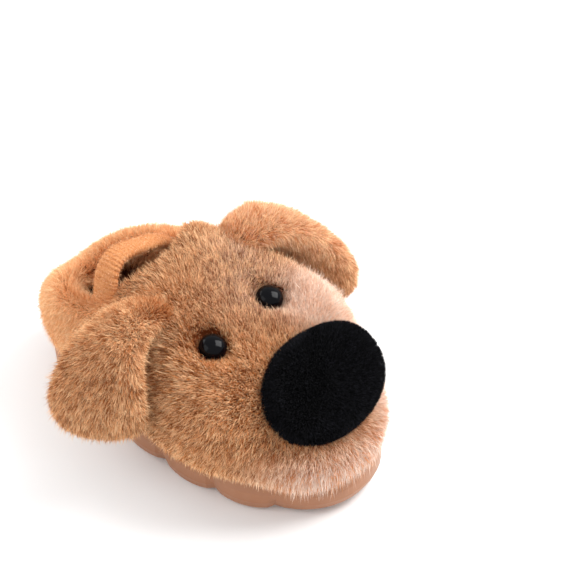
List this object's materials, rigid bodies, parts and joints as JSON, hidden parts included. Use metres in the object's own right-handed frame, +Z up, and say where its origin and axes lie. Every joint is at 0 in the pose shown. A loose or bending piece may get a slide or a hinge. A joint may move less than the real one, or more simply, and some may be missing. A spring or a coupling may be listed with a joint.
{
  "type": "child's plush animal slipper",
  "caption": "Plush slipper with a stuffed dog's face: foam cupsole, hollow furry upper, ears, padded nose, bead eyes and ankle strap.",
  "frame": {"origin": "on the floor under the middle of the sole, on the flat spot behind the ball of the foot", "axes": "+Z up, the toe points along -Y, the wearer's left side is +X"},
  "size_m": [0.1483, 0.1774, 0.0886],
  "materials": {
    "foam": "smooth matte moulded foam",
    "plush": "combed short pile, tan with darker roots",
    "lining": "curly short pile",
    "nose": "black velour",
    "bead": "glossy",
    "elastic": "ribbed elastic band"
  },
  "bodies": {
    "root": {"outsole": "foam", "insole": "lining", "upper": "plush", "right_ear": "plush", "left_ear": "plush", "nose": "nose", "right_eye": "bead", "left_eye": "bead", "strap": "elastic"}
  },
  "joints": []
}
